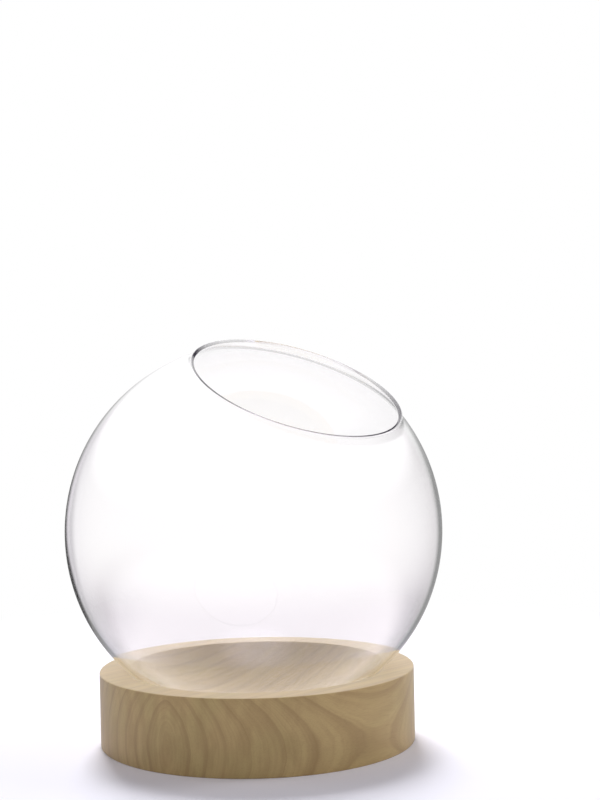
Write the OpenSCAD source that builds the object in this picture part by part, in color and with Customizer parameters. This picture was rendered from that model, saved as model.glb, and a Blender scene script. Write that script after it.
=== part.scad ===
// Slant-cut glass globe that rests loose in a dished, turned wooden base.
// Millimetres, +Z up, origin at the centre of the base's underside.

/* [Glass globe] */
// Outside diameter of the blown globe
globe_d = 250; // [210:1:290]
// Thickness of the glass wall
glass_wall = 2.2; // [1.6:0.1:4]
// Diameter of the mouth, through the middle of its lip
mouth_d = 139; // [90:1:170]
// Diameter of the round, fire-polished lip
lip_d = 3; // [2.4:0.1:6]
// How far the lip stands out from the globe
lip_stand = 2.8; // [1:0.1:5]
// Radius of the curve by which the wall sweeps up to the lip
sweep_r = 12; // [8:0.5:25]
// Lean of the mouth away from level, in degrees
mouth_lean = 26.4; // [0:0.2:40]
// Direction that the mouth leans to, in degrees from +X
mouth_bearing = -50; // [-180:1:180]

/* [Wooden base] */
// Outside diameter of the turned base
base_d = 208.8; // [196:0.2:240]
// Height of the turned base
base_h = 48.7; // [38:0.1:54]
// Wood left under the lowest point of the dish
dish_floor = 14.5; // [8:0.1:20]
// Width of the broken edge round each rim
arris = 0.8; // [0.2:0.1:2]

/* [Fit] */
// Gap all round between the globe and its dish
seat_gap = 0.3; // [0.2:0.05:0.5]

/* [Hidden] */
$fn = 256;
// Every cut runs this far past the face that it opens
overrun = 1;

// The globe and its lip
globe_r = globe_d / 2;
bore_r = globe_r - glass_wall;
wall_mid_r = globe_r - glass_wall / 2;
lip_r = lip_d / 2;
mouth_r = mouth_d / 2;
// Distances from the globe's centre to the middle of the lip, and to the centre of the sweep
lip_reach = wall_mid_r + lip_stand;
sweep_reach = wall_mid_r + sweep_r;
// Angles there from the mouth's axis to both
lip_angle = asin(mouth_r / lip_reach);
sweep_angle = lip_angle + triangle_angle(lip_reach, sweep_reach, sweep_r);
lip_centre = ray_point(lip_reach, lip_angle);
sweep_centre = ray_point(sweep_reach, sweep_angle);
// How far the sweep turns, from the globe to the lip
sweep_turn = triangle_angle(sweep_reach, sweep_r, lip_reach);
// The round wall runs this far on under the sweep, so that the two always join as one
knit = 0.05;
wall_end_angle = sweep_angle - asin(knit / globe_r);

// The base and its dish, which is struck from the globe's own centre
base_r = base_d / 2;
dish_r = globe_r + seat_gap;
globe_z = dish_floor + dish_r;
dish_rim_r = sqrt(pow(dish_r, 2) - pow(globe_z - base_h, 2));
// Angle at the globe's centre from straight down to the dish's rim, and to the foot of its broken edge
dish_rim_angle = asin(dish_rim_r / dish_r);
dish_arris_angle = dish_rim_angle - asin(arris / dish_r);

// The point a distance out from the globe's centre, at an angle from the mouth's axis
function ray_point(reach, angle) = reach * [sin(angle), cos(angle)];

// The angle between sides a and b of a triangle whose third side is c
function triangle_angle(a, b, c) = acos((pow(a, 2) + pow(b, 2) - pow(c, 2)) / (2 * a * b));

// A point of the dish, at an angle from straight down
function dish_point(angle) = [dish_r * sin(angle), globe_z - dish_r * cos(angle)];

// The point past b on the line from a, one overrun further
function run_past(a, b) = b + overrun * (b - a) / norm(b - a);

// Half section of the blank, with both outer rims broken
module blank_section() {
    polygon([
        [0, 0],
        [base_r - arris, 0],
        [base_r, arris],
        [base_r, base_h - arris],
        [base_r - arris, base_h],
        [0, base_h]
    ]);
}

// Takes the sharp corner off where the dish meets the top face
module dish_arris_section() {
    top = [dish_rim_r + arris, base_h];
    low = run_past(top, dish_point(dish_arris_angle));
    high = run_past(low, top);
    polygon([high, low, [low.x, high.y]]);
}

module wooden_base() {
    color([0.80, 0.70, 0.53])
    rotate_extrude()
    difference() {
        blank_section();
        translate([0, globe_z]) circle(r = dish_r);
        dish_arris_section();
    }
}

// The wedge, from the globe's centre outwards, that the sweep and the mouth take out of the round wall
module mouth_section() {
    far = ray_point((globe_r + overrun) / cos(wall_end_angle), wall_end_angle);
    polygon([[0, 0], far, [0, far.y]]);
}

// Half section of the blown wall, about the mouth's own axis
module wall_section() {
    intersection() {
        difference() {
            circle(r = globe_r);
            circle(r = bore_r);
            mouth_section();
        }
        translate([0, -globe_r]) square([globe_r, globe_d]);
    }
}

// Near the mouth the wall turns outwards, in one hollow curve from the globe to the middle of the lip
module sweep_section() {
    reach = (sweep_r + glass_wall) / cos(sweep_turn / 2);
    to_globe = -sweep_centre / sweep_reach;
    to_lip = (lip_centre - sweep_centre) / sweep_r;
    intersection() {
        translate(sweep_centre) difference() {
            circle(r = sweep_r + glass_wall / 2);
            circle(r = sweep_r - glass_wall / 2);
        }
        polygon([sweep_centre, sweep_centre + reach * to_globe, sweep_centre + reach * to_lip]);
    }
}

// The lip is melted back to a round bead, a little thicker than the wall
module lip_section() {
    translate(lip_centre) circle(r = lip_r);
}

module glass_globe() {
    color([0.86, 0.90, 0.92, 0.35])
    translate([0, 0, globe_z])
    rotate([0, mouth_lean, mouth_bearing])
    rotate_extrude()
    union() {
        wall_section();
        sweep_section();
        lip_section();
    }
}

wooden_base();
glass_globe();
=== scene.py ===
"""Globe vase: a slant-cut globe of clear blown glass that stands loose in the dish of a turned wooden base.

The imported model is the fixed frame. Each of its two pieces is turned again here, finer, in the same place:
the glass as a closed wall with a melted lip, and the wood with its rims eased. All lengths are in metres.
"""

import logging
import math
from collections.abc import Callable, Sequence
from dataclasses import dataclass, field
from enum import Enum

import bmesh
import bpy
from mathutils import Matrix, Vector


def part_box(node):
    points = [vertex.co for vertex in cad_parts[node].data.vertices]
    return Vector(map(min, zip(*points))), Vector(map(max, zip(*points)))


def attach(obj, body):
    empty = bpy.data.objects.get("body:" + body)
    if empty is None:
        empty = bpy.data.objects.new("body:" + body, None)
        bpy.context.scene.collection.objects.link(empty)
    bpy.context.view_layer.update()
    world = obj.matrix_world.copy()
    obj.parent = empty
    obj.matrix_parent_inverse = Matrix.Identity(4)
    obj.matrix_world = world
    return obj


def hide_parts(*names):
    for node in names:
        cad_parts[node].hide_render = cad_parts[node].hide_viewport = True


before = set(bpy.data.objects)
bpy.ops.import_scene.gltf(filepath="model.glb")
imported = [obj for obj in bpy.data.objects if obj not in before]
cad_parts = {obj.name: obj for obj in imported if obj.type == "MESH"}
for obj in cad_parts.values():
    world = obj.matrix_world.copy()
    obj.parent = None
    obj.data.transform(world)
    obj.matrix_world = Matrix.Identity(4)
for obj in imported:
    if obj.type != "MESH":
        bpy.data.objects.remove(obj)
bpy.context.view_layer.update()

MM = 0.001
PER_MM = 1000.0
NOISE_MIDDLE = 0.5
# A ray's count lies above this as soon as it is 1
ONCE = 0.5
BASE_NODE, GLOBE_NODE = "wooden_base", "glass_globe"

log = logging.getLogger("globe_vase")

Triple = tuple[float, float, float]
Pair = tuple[float, float]
WHITE = (1.0, 1.0, 1.0)


class Slot(Enum):
    """The record's material slots."""

    WOOD = "pale_wood"
    GLASS = "clear_glass"


class Body(Enum):
    """The CAD bodies that the pieces ride on."""

    BASE = "base"
    GLOBE = "globe"


class Ray(Enum):
    """What the Light Path node tells of a ray."""

    CAMERA = "Is Camera Ray"
    DIFFUSE = "Is Diffuse Ray"
    REFLECTIONS = "Glossy Depth"
    CROSSINGS = "Transmission Depth"


# Shader nodes as Python


class Wire:
    """The output of a shader node, which Python arithmetic turns into Math nodes."""

    def __init__(self, graph: "Graph", socket: bpy.types.NodeSocket) -> None:
        """Holds one output socket of a graph."""
        self.graph = graph
        self.socket = socket

    def _math(self, operation: str, *values: "Wire | float") -> "Wire":
        """Adds one Math node that works on the given values in order."""
        return self.graph.add("ShaderNodeMath", {"operation": operation}, dict(enumerate(values)))

    def __add__(self, other: "Wire | float") -> "Wire":
        """Adds."""
        return self._math("ADD", self, other)

    def __radd__(self, other: float) -> "Wire":
        """Adds to a number."""
        return self._math("ADD", other, self)

    def __sub__(self, other: "Wire | float") -> "Wire":
        """Subtracts."""
        return self._math("SUBTRACT", self, other)

    def __rsub__(self, other: float) -> "Wire":
        """Subtracts from a number."""
        return self._math("SUBTRACT", other, self)

    def __mul__(self, other: "Wire | float") -> "Wire":
        """Multiplies."""
        return self._math("MULTIPLY", self, other)

    def __rmul__(self, other: float) -> "Wire":
        """Multiplies a number."""
        return self._math("MULTIPLY", other, self)

    def __truediv__(self, other: "Wire | float") -> "Wire":
        """Divides."""
        return self._math("DIVIDE", self, other)

    def __pow__(self, other: "Wire | float") -> "Wire":
        """Raises to a power."""
        return self._math("POWER", self, other)

    def root(self) -> "Wire":
        """The square root."""
        return self._math("SQRT", self)

    def size(self) -> "Wire":
        """The value without its sign."""
        return self._math("ABSOLUTE", self)

    def floor(self) -> "Wire":
        """The whole number below."""
        return self._math("FLOOR", self)

    def fraction(self) -> "Wire":
        """What is left above the whole number below."""
        return self._math("FRACT", self)

    def larger(self, other: "Wire | float") -> "Wire":
        """The larger of the two."""
        return self._math("MAXIMUM", self, other)

    def over(self, level: float) -> "Wire":
        """1 above a level, and 0 elsewhere."""
        return self._math("GREATER_THAN", self, level)

    def bearing(self, ahead: "Wire") -> "Wire":
        """The angle in degrees from straight ahead to a point this far to the side."""
        return self._math("ARCTAN2", self, ahead) * math.degrees(1.0)

    def ease(self, low: float, high: float) -> "Wire":
        """Climbs smoothly from 0 at low to 1 at high."""
        inputs = {"Value": self, "From Min": low, "From Max": high}
        return self.graph.add("ShaderNodeMapRange", {"interpolation_type": "SMOOTHSTEP"}, inputs)


class Graph:
    """A material's or a world's node tree."""

    def __init__(self, tree: bpy.types.NodeTree) -> None:
        """Empties the tree that it is given."""
        self.tree = tree
        tree.nodes.clear()

    def add(self, kind: str, settings: dict | None = None, inputs: dict | None = None,
            output: str | int = 0) -> Wire:
        """Adds a node.

        Args:
            kind: The node's type.
            settings: Its properties, set first. A ramp's stops are pairs of a place and a colour.
            inputs: Values or wires for its sockets, by name or number.
            output: The output that the wire holds.

        Returns:
            A wire from that output.
        """
        node = self.tree.nodes.new(kind)
        for name, value in (settings or {}).items():
            if name == "stops":
                self._set_stops(node.color_ramp, value)
            else:
                setattr(node, name, value)
        for name, value in (inputs or {}).items():
            if isinstance(value, Wire):
                self.tree.links.new(value.socket, node.inputs[name])
            else:
                node.inputs[name].default_value = value
        return Wire(self, node.outputs[output] if node.outputs else None)

    @staticmethod
    def _set_stops(ramp: bpy.types.ColorRamp, stops: Sequence[tuple[float, Triple]]) -> None:
        """Gives a colour ramp its stops.

        Args:
            ramp: The ramp, as new.
            stops: The places and colours, in rising order.
        """
        while len(ramp.elements) < len(stops):
            ramp.elements.new(1.0)
        for element, (place, colour) in zip(ramp.elements, stops):
            element.position = place
            element.color = (*colour, 1.0)

    def place(self) -> Wire:
        """Where the shaded point lies in its object, in metres."""
        return self.add("ShaderNodeTexCoord", output="Object")

    def ray(self, fact: Ray) -> Wire:
        """One fact about the ray that is being shaded."""
        return self.add("ShaderNodeLightPath", output=fact.value)

    def mirrored(self) -> Wire:
        """1 for light that a surface has reflected on its way, and 0 elsewhere."""
        return self.ray(Ray.REFLECTIONS).over(ONCE)

    def split(self, vector: Wire) -> tuple[Wire, Wire, Wire]:
        """The three numbers of a vector."""
        node = self.add("ShaderNodeSeparateXYZ", inputs={0: vector}).socket.node
        return tuple(Wire(self, out) for out in node.outputs)

    def join(self, x: Wire | float, y: Wire | float, z: Wire | float) -> Wire:
        """A vector of three numbers."""
        return self.add("ShaderNodeCombineXYZ", inputs={0: x, 1: y, 2: z})

    def scale(self, vector: Wire, factor: Wire | float) -> Wire:
        """A vector made longer or shorter."""
        return self.add("ShaderNodeVectorMath", {"operation": "SCALE"}, {0: vector, "Scale": factor})

    def noise(self, vector: Wire, detail: float = 2.0, rough: float = 0.5) -> Wire:
        """Soft noise between 0 and 1, with one swell to a unit of the vector.

        Args:
            vector: Where to read it.
            detail: How many finer layers it has.
            rough: How strong the finer layers are.

        Returns:
            The noise.
        """
        inputs = {"Vector": vector, "Scale": 1.0, "Detail": detail, "Roughness": rough}
        return self.add("ShaderNodeTexNoise", {"noise_dimensions": "3D"}, inputs)

    def ramp(self, value: Wire, stops: Sequence[Pair], span: Pair) -> Wire:
        """A level that runs straight from stop to stop and stays even past both ends.

        Args:
            value: What the level is looked up for.
            stops: Pairs of a value and the level there, in rising order.
            span: The lowest and the highest value that the ramp covers.

        Returns:
            The level.
        """
        low, high = span
        greys = [((at - low) / (high - low), (level,) * 3) for at, level in stops]
        return self.add("ShaderNodeValToRGB", {"stops": greys}, {"Fac": (value - low) / (high - low)})

    def mix(self, share: Wire | float, first: Wire | Triple, second: Wire | Triple) -> Wire:
        """Mixes two colours.

        Args:
            share: 0 gives the first colour and 1 the second.
            first: One colour.
            second: The other.

        Returns:
            The mixed colour.
        """
        inputs = {0: share, 6: first, 7: second}
        inputs = {k: (*v, 1.0) if isinstance(v, tuple) else v for k, v in inputs.items()}
        return self.add("ShaderNodeMix", {"data_type": "RGBA"}, inputs, output=2)

    def blend(self, share: Wire | float, first: Wire, second: Wire) -> Wire:
        """Mixes two shaders; share 0 is the first."""
        return self.add("ShaderNodeMixShader", inputs={0: share, 1: first, 2: second})

    def glow(self, colour: Wire | Triple, strength: Wire | float = 1.0) -> Wire:
        """A plain emission shader."""
        value = (*colour, 1.0) if isinstance(colour, tuple) else colour
        return self.add("ShaderNodeEmission", inputs={"Color": value, "Strength": strength})

    def number(self, value: float) -> Wire:
        """Makes a wire that holds one number.

        Args:
            value: The number.

        Returns:
            The wire.
        """
        wire = self.add("ShaderNodeValue")
        wire.socket.default_value = value
        return wire

    def finish(self, shader: Wire, volume: Wire | None = None,
               output: str = "ShaderNodeOutputMaterial") -> None:
        """Sends the shaders to the tree's output.

        Args:
            shader: The surface.
            volume: What fills the inside, if anything.
            output: The type of the output node.
        """
        inputs = {"Surface": shader} if volume is None else {"Surface": shader, "Volume": volume}
        self.add(output, inputs=inputs)


def new_material(name: str) -> tuple[bpy.types.Material, Graph]:
    """Makes an empty node material.

    Args:
        name: The material's name.

    Returns:
        The material, and the graph to fill it with.
    """
    material = bpy.data.materials.new(name)
    material.use_nodes = True
    return material, Graph(material.node_tree)


# Finishes


@dataclass(frozen=True)
class Ring:
    """A circle in space: its centre, the direction of its axis and its radius."""

    centre: Vector
    axis: Vector
    radius: float


@dataclass(frozen=True)
class ClearGlass:
    """Clear soda glass, blown and fire-polished: darker where the wall is seen edge on, with slow ripples.

    The lip carries painted shade: a dark line, painted in with a dim glow, where its crest is seen edge on.
    The line fades out over lip_depth from the lip's middle, and comes in over lip_crest from its foot to its
    crest. Its level, from 0 to 1, goes by the place across the mouth, from -1 at the left end to 1 at the
    right end. Over lip_turn, which is measured forwards from the mouth's centre, the levels change from the
    back's to the front's.
    """

    name: str = "clear_blown_glass"
    index: float = 1.5
    depth_colour: Triple = (0.60, 0.60, 0.62)
    depth_density: float = 6.0
    ripple_size: float = 45 * MM
    ripple_detail: float = 1.0
    ripple_depth: float = 0.4 * MM
    ripple_strength: float = 0.04
    smear_size: float = 30 * MM
    smear_detail: float = 3.0
    smear_shown: Pair = (0.45, 0.75)
    smear_roughness: float = 0.01
    # After this many reflections inside the wall the glass shows painted light: a plain grey glow
    piped_after: float = 3.5
    painted_glow_strength: float = 0.75
    lip_depth: Pair = (1.6 * MM, 2.2 * MM)
    lip_edge: Pair = (0.02, 0.24)
    lip_crest: Pair = (0.2 * MM, 1.3 * MM)
    # Colour and strength of the painted shade on the lip: a dim dark glow
    painted_lip_shade_colour: Triple = (0.05, 0.045, 0.06)
    lip_strength: float = 1.4
    lip_span: Pair = (-1.0, 1.0)
    lip_turn: Pair = (-1 * MM, 8 * MM)
    # Levels of the painted lip shade across the mouth, at its front and at its back
    lip_front: tuple[Pair, ...] = (
        (-1.0, 0.30), (-0.93, 0.38), (-0.85, 0.78), (-0.75, 0.74), (-0.5, 0.40), (-0.25, 0.32), (0.0, 0.37),
        (0.2, 0.53), (0.49, 0.72), (0.66, 1.0), (0.84, 0.95), (0.93, 0.42), (1.0, 0.36))
    lip_back: tuple[Pair, ...] = (
        (-1.0, 0.9), (-0.93, 0.7), (-0.85, 0.25), (-0.7, 0.05),
        (0.7, 0.05), (0.85, 0.25), (0.93, 0.42), (1.0, 0.6))

    def build(self, ring: Ring) -> bpy.types.Material:
        """Makes the material. Light that stays caught in the wall is painted in: past piped_after
        reflections the glass glows a plain grey.

        Args:
            ring: The middle of the lip.

        Returns:
            The material.
        """
        material, g = new_material(self.name)
        place = g.place()
        ripple = g.noise(g.scale(place, 1.0 / self.ripple_size), self.ripple_detail)
        smear = g.noise(g.scale(place, 1.0 / self.smear_size), self.smear_detail)
        normal = g.add("ShaderNodeBump", inputs={
            "Strength": self.ripple_strength, "Distance": self.ripple_depth, "Height": ripple})
        glass = g.add("ShaderNodeBsdfPrincipled", inputs={
            "Base Color": (*WHITE, 1.0),
            "Roughness": smear.ease(*self.smear_shown) * self.smear_roughness,
            "IOR": self.index,
            "Transmission Weight": 1.0,
            "Normal": normal})
        # Painted light: a plain grey glow that stands in for light caught in the wall
        piped = g.glow(WHITE, self.painted_glow_strength)
        depth = g.add("ShaderNodeVolumeAbsorption", inputs={
            "Color": (*self.depth_colour, 1.0), "Density": self.depth_density})
        # Painted shade: a dim dark glow mixed into the glass along the lip's crest
        lip = g.blend(self.painted_lip_shade(g, ring), glass, g.glow(self.painted_lip_shade_colour))
        g.finish(g.blend(g.ray(Ray.REFLECTIONS).over(self.piped_after), lip, piped), depth)
        return material

    def painted_lip_shade(self, g: Graph, ring: Ring) -> Wire:
        """How dark the painted shade along the lip is.

        Args:
            g: The material's graph.
            ring: The middle of the lip.

        Returns:
            0 for clear glass, and 1 or more where the line is full.
        """
        x, y, z = (value - at for value, at in zip(g.split(g.place()), ring.centre))
        height = x * ring.axis.x + y * ring.axis.y + z * ring.axis.z
        out = (x * x + y * y + z * z - height * height).larger(0.0).root() - ring.radius
        share = 1.0 - (out * out + height * height).root().ease(*self.lip_depth)
        edge = g.add("ShaderNodeLayerWeight", output="Facing").ease(*self.lip_edge)
        edge = edge * (height - out).ease(*self.lip_crest)
        side = x / ring.radius
        front = g.ramp(side, self.lip_front, self.lip_span)
        back = g.ramp(side, self.lip_back, self.lip_span)
        level = back + (front - back) * (y * -1.0).ease(*self.lip_turn)
        return share * edge * level * self.lip_strength


@dataclass(frozen=True)
class Grain:
    """One layer of the wood's figure: soft noise, stretched along the fibre.

    One swell of it measures across, along and up, in millimetres. It begins to show at the first level of
    shown, and from the second level on it takes its full share.
    """

    across: float
    along: float
    up: float
    detail: float = 2.0
    rough: float = 0.5
    shown: Pair = (0.0, 1.0)
    share: float = 1.0

    def noise(self, g: Graph, across: Wire, along: Wire, up: Wire) -> Wire:
        """The layer's noise, between 0 and 1.

        Args:
            g: The material's graph.
            across: The place across the fibre.
            along: The place along the fibre.
            up: The height.

        Returns:
            The noise.
        """
        place = g.join(across / self.across, along / self.along, up / self.up)
        return g.noise(place, self.detail, self.rough)

    def show(self, noise: Wire) -> Wire:
        """The share that the layer takes where its noise is this high."""
        return noise.ease(*self.shown) * self.share


@dataclass(frozen=True)
class PaleWood:
    """Bare, fine-sanded pale hardwood, cut from one block: growth rings, fibre streaks and open pores.

    The rings are shells round the tree's pith, which lies level across the block. The lengths here are in
    millimetres, the scale on which the wood's figure is read. A ring ends in a thin dark line of late wood
    at each of ring_lines, measured outwards from the pith. The line comes up over line_rise of its ring and
    is gone at line_end of the next. Each relief says how far a layer stands up, as a share of bump_depth.
    """

    name: str = "bare_pale_wood"
    fibre_bearing: float = 47.6
    pith_offset: float = 21.0
    pith_height: float = 15.0
    pith_round: float = 5.0
    ring_arch: float = 0.0128
    ring_lines: tuple[float, ...] = (
        12.0, 22.6, 32.6, 43.9, 57.9, 68.5, 77.8, 88.4, 99.0, 111.0, 121.5, 133.0)
    ring_span: Pair = (0.0, 145.0)
    drift: Grain = Grain(38.0, 120.0, 38.0)
    drift_depth: float = 5.0
    flutter: Grain = Grain(7.0, 60.0, 9.0)
    flutter_depth: float = 1.2

    line_rise: Pair = (0.45, 0.99)
    line_sharpness: float = 3.0
    line_end: Pair = (0.0, 0.07)
    line_change: Grain = Grain(1 / 3.7, 60.0, 45.0, detail=1.0, shown=(0.25, 0.7), share=0.55)
    line_least: float = 0.45
    line_share: float = 0.62

    patch: Grain = Grain(26.0, 70.0, 30.0, shown=(0.40, 0.65), share=0.6)
    streak: Grain = Grain(7.0, 75.0, 24.0, shown=(0.40, 0.62), share=0.28)
    fine: Grain = Grain(1.25, 90.0, 60.0, detail=3.0, rough=0.6, shown=(0.35, 0.75), share=0.32)
    fibre: Grain = Grain(0.625, 22.0, 0.625, detail=3.0, rough=0.65, shown=(0.40, 0.80), share=0.20)
    pores: Grain = Grain(1 / 2.3, 6.0, 1 / 2.3, detail=1.0, shown=(0.68, 0.78))
    pores_least: float = 0.3
    pores_share: float = 0.5

    early_wood: Triple = (0.50, 0.363, 0.164)
    late_wood: Triple = (0.315, 0.205, 0.085)
    olive_wood: Triple = (0.45, 0.35, 0.148)
    pore_shade: Triple = (0.20, 0.125, 0.055)

    bump_strength: float = 0.25
    bump_depth: float = 0.08 * MM
    fibre_relief: float = 0.5
    line_relief: float = 0.3
    roughness: float = 0.48
    fibre_roughness: float = 0.12
    pores_roughness: float = 0.15
    line_smoothness: float = 0.05
    index: float = 1.45
    sheen: float = 0.36
    sheen_roughness: float = 0.4
    sheen_tint: Triple = (0.90, 0.92, 1.0)

    def build(self) -> bpy.types.Material:
        """Makes the material.

        Returns:
            The material.
        """
        material, g = new_material(self.name)
        x, y, z = (value * PER_MM for value in g.split(g.place()))
        bearing = math.radians(self.fibre_bearing)
        across = x * math.sin(bearing) - y * math.cos(bearing)
        along = x * math.cos(bearing) + y * math.sin(bearing)

        depth = self.ring_depth(g, across, along, z)
        line = self.ring_line(g, depth, along, z)
        patch = self.patch.noise(g, across, along, z)
        streak = self.streak.noise(g, across, along, z)
        fine = self.fine.noise(g, depth, along, z)
        fibre = self.fibre.noise(g, across, along, z)
        pores = self.pores.show(self.pores.noise(g, across, along, z))
        pores = pores * (self.pores_least + line * (1.0 - self.pores_least))

        colour = g.mix(self.patch.show(patch), self.early_wood, self.olive_wood)
        colour = g.mix(self.streak.show(streak), colour, self.late_wood)
        colour = g.mix(self.fine.show(fine), colour, self.late_wood)
        colour = g.mix(line * self.line_share, colour, self.late_wood)
        colour = g.mix(self.fibre.show(fibre), colour, self.pore_shade)
        colour = g.mix(pores * self.pores_share, colour, self.pore_shade)

        roughness = self.roughness + fibre * self.fibre_roughness + pores * self.pores_roughness
        normal = g.add("ShaderNodeBump", inputs={
            "Strength": self.bump_strength,
            "Distance": self.bump_depth,
            "Height": fibre * self.fibre_relief - pores + line * self.line_relief})
        shader = g.add("ShaderNodeBsdfPrincipled", inputs={
            "Base Color": colour,
            "Roughness": roughness - line * self.line_smoothness,
            "IOR": self.index,
            "Sheen Weight": self.sheen,
            "Sheen Roughness": self.sheen_roughness,
            "Sheen Tint": (*self.sheen_tint, 1.0),
            "Normal": normal})
        g.finish(shader)
        return material

    def ring_depth(self, g: Graph, across: Wire, along: Wire, z: Wire) -> Wire:
        """How far out from the pith a point grew, in millimetres, with the tree's own waviness.

        Args:
            g: The material's graph.
            across: The place across the fibre.
            along: The place along the fibre.
            z: The height.

        Returns:
            The distance, which shells of even growth share.
        """
        drift = self.drift.noise(g, across, along, z) - NOISE_MIDDLE
        flutter = self.flutter.noise(g, across, along, z) - NOISE_MIDDLE
        side = across - self.pith_offset
        rise = z - self.pith_height
        depth = (side * side + self.pith_round**2).root() + rise * rise * self.ring_arch - self.pith_round
        return depth + drift * self.drift_depth + flutter * self.flutter_depth

    def ring_line(self, g: Graph, depth: Wire, along: Wire, z: Wire) -> Wire:
        """How dark the late wood is at the end of each ring. Each line has its own strength.

        Args:
            g: The material's graph.
            depth: The distance from the pith.
            along: The place along the fibre.
            z: The height.

        Returns:
            0 for early wood, and up to 1 at the darkest of a line.
        """
        total = len(self.ring_lines)
        stops = [(at, n / total) for n, at in enumerate((0.0, *self.ring_lines))]
        counted = g.ramp(depth, stops, self.ring_span) * total
        phase = counted.fraction()
        line = (phase.ease(*self.line_rise) ** self.line_sharpness).larger(1.0 - phase.ease(*self.line_end))
        strength = self.line_change.show(self.line_change.noise(g, counted.floor(), along, z))
        return line * (self.line_least + strength)


@dataclass(frozen=True)
class StudioRoom:
    """What glass shows: a white backdrop, a darker gap at each side of it, and then the room.

    Bearings are in degrees from straight behind the object, to either side, rises in degrees above the
    horizon and falls in degrees below it. A pair is the two angles between which one tone turns into the
    next. The backdrop ends at backdrop_edge in a reflection, and at through_edge where it is seen straight
    through the glass. Only reflections see the sky, the ceiling and, after more than inner_crossings of a
    glass face, the inner tones.
    """

    backdrop_edge: Pair = (9.0, 12.0)
    through_edge: Pair = (13.0, 17.0)
    room_edge: Pair = (26.0, 38.0)
    inner_edge: Pair = (10.0, 50.0)
    inner_left: float = 0.60
    inner_right: float = 0.88
    inner_rises: Pair = (3.0, 12.0)
    inner_crossings: float = 3.5
    side_change: Pair = (-0.2, 0.2)
    gap_rises: Pair = (-35.0, 15.0)
    gap_stops: tuple[Pair, ...] = (
        (-30.0, 0.28), (-25.6, 0.22), (-19.0, 0.20), (-17.5, 0.10), (-15.8, 0.06), (-14.0, 0.05),
        (-11.9, 0.0), (-7.1, 0.0), (-3.7, 0.02), (-1.2, 0.12), (1.3, 0.32), (4.7, 0.42), (7.8, 0.68),
        (10.5, 0.90))
    gap_right: float = 0.26
    left_narrowing: float = 8.5
    narrowing_rises: Pair = (-10.0, 0.5)
    room_left: Triple = (0.80, 0.76, 0.81)
    room_right: Triple = (0.60, 0.555, 0.58)
    room_front: Triple = (1.02, 0.93, 0.95)
    room_low: float = 0.40
    room_falls: Pair = (10.0, 26.0)
    backdrop: Triple = (1.04, 1.03, 1.035)
    low_white: Triple = (0.91, 0.865, 0.905)
    low_side: Triple = (0.62, 0.59, 0.63)
    low_sides: Pair = (1.0, 9.0)
    white_falls: Pair = (3.5, 11.0)
    front_left: Pair = (35.0, 95.0)
    front_right: Pair = (55.0, 115.0)
    sky: Triple = (1.9, 1.82, 1.9)
    sky_edge: Pair = (10.0, 24.0)
    ceiling: Triple = (3.4, 3.2, 3.5)
    ceiling_edge: Pair = (67.0, 84.0)

    def tone(self, g: Graph, right: Wire, away: Wire, up: Wire) -> Wire:
        """The colour that is seen in one direction.

        Args:
            g: The graph to build in.
            right: How far the direction runs to the right.
            away: How far it runs away behind the object.
            up: How far it runs up.

        Returns:
            The colour.
        """
        level = (right * right + away * away).root()
        rise = up.bearing(level)
        fall = rise * -1.0
        bearing = right.size().bearing(away)
        on_right = (right / level).ease(*self.side_change)
        mirrored = g.mirrored()

        gap_left = g.ramp(rise, self.gap_stops, self.gap_rises)
        gap = g.mix(on_right, gap_left, gap_left.larger(self.gap_right))
        to_front = bearing.ease(*self.front_left)
        to_front = to_front + (bearing.ease(*self.front_right) - to_front) * on_right
        room = g.mix(to_front, g.mix(on_right, self.room_left, self.room_right), self.room_front)
        room = g.scale(room, 1.0 - fall.ease(*self.room_falls) * self.room_low)
        opened = bearing + rise.ease(*self.narrowing_rises) * (1.0 - on_right) * self.left_narrowing
        sides = g.mix(opened.ease(*self.room_edge), gap, room)

        low_white = g.mix(bearing.ease(*self.low_sides), self.low_white, self.low_side)
        white = g.mix(fall.ease(*self.white_falls), self.backdrop, low_white)
        past_white = bearing.ease(*self.through_edge)
        past_white = past_white + (bearing.ease(*self.backdrop_edge) - past_white) * mirrored
        outer = g.mix(past_white, white, sides)

        inner = g.mix(bearing.ease(*self.inner_edge), (self.inner_left,) * 3, room)
        inner = g.mix(on_right, inner, (self.inner_right,) * 3)
        within = g.ray(Ray.CROSSINGS).over(self.inner_crossings) * (1.0 - rise.ease(*self.inner_rises))
        seen = g.mix(within * mirrored, outer, inner)
        seen = g.mix(rise.ease(*self.sky_edge) * mirrored, seen, self.sky)
        return g.mix(rise.ease(*self.ceiling_edge) * mirrored, seen, self.ceiling)


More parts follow.
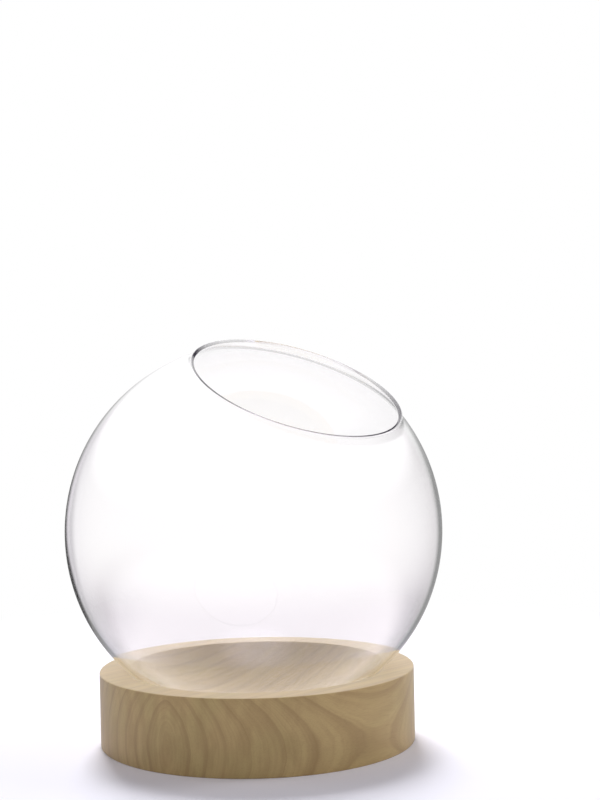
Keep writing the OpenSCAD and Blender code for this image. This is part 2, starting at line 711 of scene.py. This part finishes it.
@dataclass(frozen=True)
class StudioFloor:
    """White sweep: a white card round the object and plain white further out.

    A reflection sees the room's tones on all of it, as if from beside the object, reach out and height up.
    What is seen straight through the glass takes them on from near to far. The card takes the shadow.
    """

    name: str = "studio_floor_white"
    card: Triple = (0.89, 0.885, 0.97)
    lift: float = 0.03
    near: float = 0.30
    far: float = 0.60
    reach: float = 0.11
    height: float = 0.085
    tint: Triple = (0.96, 0.915, 0.955)
    room: StudioRoom = StudioRoom()

    def build(self) -> bpy.types.Material:
        """Makes the material.

        Returns:
            The material.
        """
        material, g = new_material(self.name)
        x, y, _ = g.split(g.place())
        unseen = 1.0 - g.ray(Ray.CAMERA)
        distant = ((x * x + y * y).root() * (1.0 + unseen)).ease(self.near, self.far)
        beside = (x.size() - self.reach).larger(MM) * (x / x.size())
        room = self.room.tone(g, beside, y, g.number(-self.height))
        seen = 1.0 - g.ray(Ray.DIFFUSE)
        bent = g.mirrored().larger(distant) * unseen * seen
        tone = g.mix(bent, g.mix(unseen * seen, WHITE, self.tint), room)
        card = g.add("ShaderNodeVectorMath", {"operation": "MULTIPLY"}, {0: tone, 1: self.card})
        card = g.add("ShaderNodeBsdfDiffuse", inputs={"Color": card})
        lifted = g.add("ShaderNodeAddShader", inputs={0: card, 1: g.glow(tone, seen * self.lift)})
        g.finish(g.blend(distant * seen, lifted, g.glow(tone)))
        return material


@dataclass(frozen=True)
class StudioAir:
    """The world: soft fill on what is matt, white behind glass, and the room's tones in reflections."""

    name: str = "studio_air"
    fill: Triple = (0.255, 0.25, 0.262)
    ceiling: float = 0.35
    ceiling_edge: Pair = (25.0, 50.0)
    room: StudioRoom = StudioRoom()

    def build(self) -> bpy.types.World:
        """Makes the world.

        Returns:
            The world.
        """
        world = bpy.data.worlds.new(self.name)
        world.use_nodes = True
        g = Graph(world.node_tree)
        right, away, up = g.split(g.add("ShaderNodeTexCoord", output="Generated"))
        rise = [math.sin(math.radians(edge)) for edge in self.ceiling_edge]
        overhead = 1.0 - up.ease(*rise) * (1.0 - self.ceiling)
        strength = g.mirrored().larger(overhead)
        bent = self.air(g, self.room.tone(g, right, away, up), strength)
        shown = g.blend(g.ray(Ray.CAMERA), bent, self.air(g, WHITE, 1.0))
        g.finish(g.blend(g.ray(Ray.DIFFUSE), shown, self.air(g, self.fill, 1.0)),
                 output="ShaderNodeOutputWorld")
        return world

    @staticmethod
    def air(g: Graph, colour: Wire | Triple, strength: Wire | float) -> Wire:
        """A background shader of one colour and strength."""
        value = (*colour, 1.0) if isinstance(colour, tuple) else colour
        return g.add("ShaderNodeBackground", inputs={"Color": value, "Strength": strength})


# Meshes


class Section:
    """Half a section, drawn in the XZ plane as one chain of edges and then turned about Z."""

    # Points nearer to each other than this become one
    MERGE = 0.001 * MM

    def __init__(self, start: Pair) -> None:
        """Starts the chain at a point (radius, height)."""
        self.bm = bmesh.new()
        self.tip = self.bm.verts.new((start[0], 0.0, start[1]))

    def line(self, *points: Pair) -> "Section":
        """Runs straight to each point in turn.

        Args:
            points: The points, as (radius, height).

        Returns:
            The section itself.
        """
        for radius, height in points:
            end = self.bm.verts.new((radius, 0.0, height))
            self.bm.edges.new((self.tip, end))
            self.tip = end
        return self

    def arc(self, centre: Pair, angle: float, steps: int) -> "Section":
        """Runs round a centre.

        Args:
            centre: The arc's centre, as (radius, height).
            angle: How far it runs, in radians; positive turns from the height axis to the radius axis.
            steps: The number of edges.

        Returns:
            The section itself.
        """
        made = bmesh.ops.spin(
            self.bm, geom=[self.tip], cent=(centre[0], 0.0, centre[1]), axis=(0.0, 1.0, 0.0),
            angle=angle, steps=steps, use_merge=False, use_duplicate=False)
        self.tip = next(item for item in made["geom_last"] if isinstance(item, bmesh.types.BMVert))
        return self

    def turn(self, steps: int, place: Matrix) -> bmesh.types.BMesh:
        """Turns the section into a closed solid.

        Args:
            steps: Faces round the axis.
            place: Where the solid's own frame lies in the object.

        Returns:
            The mesh, with its poles closed and its faces pointing outwards.
        """
        bm = self.bm
        bmesh.ops.remove_doubles(bm, verts=bm.verts, dist=self.MERGE)
        bmesh.ops.spin(
            bm, geom=[*bm.verts, *bm.edges], cent=(0.0, 0.0, 0.0), axis=(0.0, 0.0, 1.0),
            angle=math.tau, steps=steps, use_merge=True, use_duplicate=False)
        bmesh.ops.remove_doubles(bm, verts=bm.verts, dist=self.MERGE)
        bmesh.ops.recalc_face_normals(bm, faces=bm.faces)
        bmesh.ops.transform(bm, matrix=place, verts=bm.verts)
        return bm


def make_piece(name: str, bm: bmesh.types.BMesh, material: bpy.types.Material) -> bpy.types.Object:
    """Turns a mesh into a smooth-shaded object at the origin.

    Args:
        name: The piece's name.
        bm: The mesh, which is freed.
        material: What it is made of.

    Returns:
        The object, linked to the scene.
    """
    mesh = bpy.data.meshes.new(name)
    bm.to_mesh(mesh)
    bm.free()
    mesh.shade_smooth()
    mesh.materials.append(material)
    piece = bpy.data.objects.new(name, mesh)
    bpy.context.scene.collection.objects.link(piece)
    return piece


# The object


def third_side_angle(first: float, second: float, third: float) -> float:
    """The angle between the first two sides of a triangle, in radians."""
    return math.acos((first**2 + second**2 - third**2) / (2 * first * second))


def polar(reach: float, angle: float, origin: Vector | None = None) -> Vector:
    """The point (radius, height) a distance out from the origin, at an angle from the height axis."""
    return Vector((reach * math.sin(angle), reach * math.cos(angle))) + (origin or Vector((0.0, 0.0)))


@dataclass
class BlownGlobe:
    """The glass: one blown globe whose mouth is cut on a slant and swept up to a fire-polished lip."""

    radius: float = 125 * MM
    wall: float = 2.2 * MM
    mouth_radius: float = 69.5 * MM
    lip_radius: float = 1.3 * MM
    lip_stand: float = 2.8 * MM
    sweep_radius: float = 12 * MM
    lip_blend: float = 1 * MM
    mouth_lean: float = 26.4
    mouth_bearing: float = -50.0
    turns: int = 224
    wall_steps: int = 84
    sweep_steps: int = 8
    blend_steps: int = 4
    lip_steps: int = 14
    glass: ClearGlass = field(default_factory=ClearGlass)

    def centre(self) -> Vector:
        """The globe's centre, one radius above its lowest point in the frame."""
        low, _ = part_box(GLOBE_NODE)
        return Vector((0.0, 0.0, low.z + self.radius))

    def section(self) -> Section:
        """Half section of the wall about the mouth's own axis, from the outer pole round the lip and back.

        The round wall meets the sweep on a line from the globe's centre. A small arc joins the sweep to the
        lip on each side.

        Returns:
            The section.
        """
        middle = self.radius - self.wall / 2
        lip_reach, sweep_reach = middle + self.lip_stand, middle + self.sweep_radius
        lip_angle = math.asin(self.mouth_radius / lip_reach)
        sweep_angle = lip_angle + third_side_angle(lip_reach, sweep_reach, self.sweep_radius)
        lip, sweep = polar(lip_reach, lip_angle), polar(sweep_reach, sweep_angle)
        sweep_turn = third_side_angle(sweep_reach, self.sweep_radius, lip_reach)
        outer_trim, outer_blend = self.blend(lip, sweep, -1)
        inner_trim, inner_blend = self.blend(lip, sweep, 1)

        section = Section((0.0, -self.radius))
        section.arc((0.0, 0.0), sweep_angle - math.pi, self.wall_steps)
        section.arc(tuple(sweep), sweep_turn - outer_trim, self.sweep_steps)
        section.arc(tuple(outer_blend), (outer_blend - sweep).angle(lip - outer_blend), self.blend_steps)
        section.arc(tuple(lip), (outer_blend - lip).angle(inner_blend - lip) - math.tau, self.lip_steps)
        section.arc(tuple(inner_blend), (lip - inner_blend).angle(sweep - inner_blend), self.blend_steps)
        section.arc(tuple(sweep), inner_trim - sweep_turn, self.sweep_steps)
        section.arc((0.0, 0.0), math.pi - sweep_angle, self.wall_steps)
        return section

    def blend(self, lip: Vector, sweep: Vector, side: int) -> tuple[float, Vector]:
        """The small arc between one face of the sweep and the lip.

        Args:
            lip: The lip's centre.
            sweep: The sweep's centre.
            side: -1 for the outer face and 1 for the inner one.

        Returns:
            The angle at the sweep's centre from the lip to the arc's centre, and that centre.
        """
        reach = self.sweep_radius + side * (self.wall / 2 + self.lip_blend)
        angle = third_side_angle(self.sweep_radius, reach, self.lip_radius + self.lip_blend)
        towards_lip = lip - sweep
        bearing = math.atan2(towards_lip.x, towards_lip.y)
        return angle, polar(reach, bearing - angle, sweep)

    def build(self) -> bpy.types.Object:
        """Makes the glass and puts it in the place of its CAD node.

        Returns:
            The globe.
        """
        lean = Matrix.Rotation(math.radians(self.mouth_lean), 4, "Y")
        bearing = Matrix.Rotation(math.radians(self.mouth_bearing), 4, "Z")
        place = Matrix.Translation(self.centre()) @ bearing @ lean
        reach = self.radius - self.wall / 2 + self.lip_stand
        height = math.sqrt(reach**2 - self.mouth_radius**2)
        axis = (bearing @ lean @ Vector((0.0, 0.0, 1.0, 0.0))).to_3d()
        ring = Ring(place @ Vector((0.0, 0.0, height)), axis, self.mouth_radius)
        piece = make_piece("blown_globe", self.section().turn(self.turns, place), self.glass.build(ring))
        piece.visible_shadow = False
        piece.visible_diffuse = False
        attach(piece, Body.GLOBE.value)
        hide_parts(GLOBE_NODE)
        return piece


@dataclass
class TurnedBase:
    """The wood: a round block with a dish for the globe, its rims eased by a touch of sandpaper.

    Beside each rim runs a narrow ring of faces, its band, so that the wide faces shade flat.
    """

    seat_gap: float = 0.3 * MM
    easing: float = 0.8 * MM
    rim_easing: float = 1.6 * MM
    band: float = 3.2 * MM
    rim_band: float = 2.4 * MM
    turns: int = 224
    dish_steps: int = 40
    easing_steps: int = 5
    wood: PaleWood = field(default_factory=PaleWood)

    def section(self, globe: BlownGlobe) -> Section:
        """Half section of the block, from the underside round the outside into the dish.

        Args:
            globe: The glass, which the dish is struck to fit.

        Returns:
            The section.
        """
        low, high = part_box(BASE_NODE)
        radius, top = (high.x - low.x) / 2, high.z
        ease = self.easing
        quarter = math.pi / 2
        centre = Vector((0.0, globe.centre().z))
        dish = globe.radius + self.seat_gap
        rim_height = top - self.rim_easing
        rim = Vector((math.sqrt((dish + self.rim_easing) ** 2 - (centre.y - rim_height) ** 2), rim_height))
        rim_turn = Vector((0.0, 1.0)).angle(centre - rim)
        dish_angle = math.atan2(rim.x, centre.y - rim.y)
        section = Section((0.0, low.z))
        section.line((radius / 2, low.z), (radius - self.band, low.z), (radius - ease, low.z))
        section.arc((radius - ease, low.z + ease), -quarter, self.easing_steps)
        section.line((radius, low.z + self.band), (radius, (low.z + top) / 2),
                     (radius, top - self.band), (radius, top - ease))
        section.arc((radius - ease, top - ease), -quarter, self.easing_steps)
        section.line((radius - self.band, top), (rim.x + self.rim_band, top), (rim.x, top))
        section.arc(tuple(rim), -rim_turn, self.easing_steps)
        section.arc(tuple(centre), dish_angle, self.dish_steps)
        return section

    def build(self, globe: BlownGlobe) -> bpy.types.Object:
        """Makes the base and puts it in the place of its CAD node.

        Args:
            globe: The glass, which the dish is struck to fit.

        Returns:
            The base.
        """
        bm = self.section(globe).turn(self.turns, Matrix.Identity(4))
        piece = make_piece("turned_base", bm, self.wood.build())
        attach(piece, Body.BASE.value)
        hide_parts(BASE_NODE)
        return piece


# The studio


@dataclass(frozen=True)
class Softbox:
    """One oblong lamp that faces the object and stays out of its reflections."""

    name: str
    place: Triple
    size: Pair
    power: float
    colour: Triple = WHITE
    aim: Triple = (0.0, 0.0, 0.05)

    def build(self) -> None:
        """Hangs the lamp."""
        data = bpy.data.lights.new(self.name, "AREA")
        data.shape = "RECTANGLE"
        data.size, data.size_y = self.size
        data.energy, data.color = self.power, self.colour
        lamp = bpy.data.objects.new(self.name, data)
        turn = (Vector(self.aim) - Vector(self.place)).to_track_quat("-Z", "Y")
        lamp.matrix_world = Matrix.Translation(self.place) @ turn.to_matrix().to_4x4()
        lamp.visible_glossy = lamp.visible_transmission = False
        bpy.context.scene.collection.objects.link(lamp)


@dataclass
class Studio:
    """White sweep, soft lamps and the camera at the photograph's viewing angle."""

    floor_radius: float = 6.0
    floor_sides: int = 96
    lamps: Sequence[Softbox] = (
        Softbox("rear_softbox", (-0.27, 2.1, 1.6), (0.9, 1.4), 90.0),
        Softbox("left_softbox", (-1.2, 0.2, 0.55), (0.5, 0.5), 1.8),
        Softbox("right_softbox", (1.2, 0.2, 0.55), (0.5, 0.5), 4.8),
        Softbox("front_softbox", (0.6, -1.6, 0.3), (0.8, 0.5), 3.6),
    )
    camera_place: Triple = (0.0322, -1.0671, 0.2527)
    camera_dip: float = 1.455
    camera_roll: float = -1.134
    focal_pixels: float = 1605.5
    frame_pixels: float = 800.0
    sensor: float = 36.0
    camera_reach: float = 50.0

    def build(self) -> None:
        """Sets the stage, the lamps, the world and the camera."""
        bm = bmesh.new()
        bmesh.ops.create_circle(bm, cap_ends=True, segments=self.floor_sides, radius=self.floor_radius)
        make_piece("studio_floor", bm, StudioFloor().build())
        for lamp in self.lamps:
            lamp.build()
        bpy.context.scene.world = StudioAir().build()
        self.build_camera()
        bpy.context.scene.view_settings.view_transform = "Standard"

    def build_camera(self) -> None:
        """Puts the camera where the photograph was taken from."""
        data = bpy.data.cameras.new("studio_camera")
        data.sensor_width = self.sensor
        data.lens = self.focal_pixels / self.frame_pixels * self.sensor
        data.clip_end = self.camera_reach
        camera = bpy.data.objects.new("studio_camera", data)
        tilt = Matrix.Rotation(math.pi / 2 - math.radians(self.camera_dip), 4, "X")
        roll = Matrix.Rotation(math.radians(self.camera_roll), 4, "Z")
        camera.matrix_world = Matrix.Translation(self.camera_place) @ tilt @ roll
        bpy.context.scene.collection.objects.link(camera)
        bpy.context.scene.camera = camera


def report(make: Callable[[], bpy.types.Object]) -> None:
    """Makes one piece and logs its name and size."""
    piece = make()
    log.info("%s: %d faces", piece.name, len(piece.data.polygons))


def main() -> None:
    """Builds the object and its studio."""
    logging.basicConfig(level=logging.INFO, format="%(name)s: %(message)s")
    globe = BlownGlobe()
    report(lambda: TurnedBase().build(globe))
    report(globe.build)
    Studio().build()


if __name__ == "__main__":
    main()
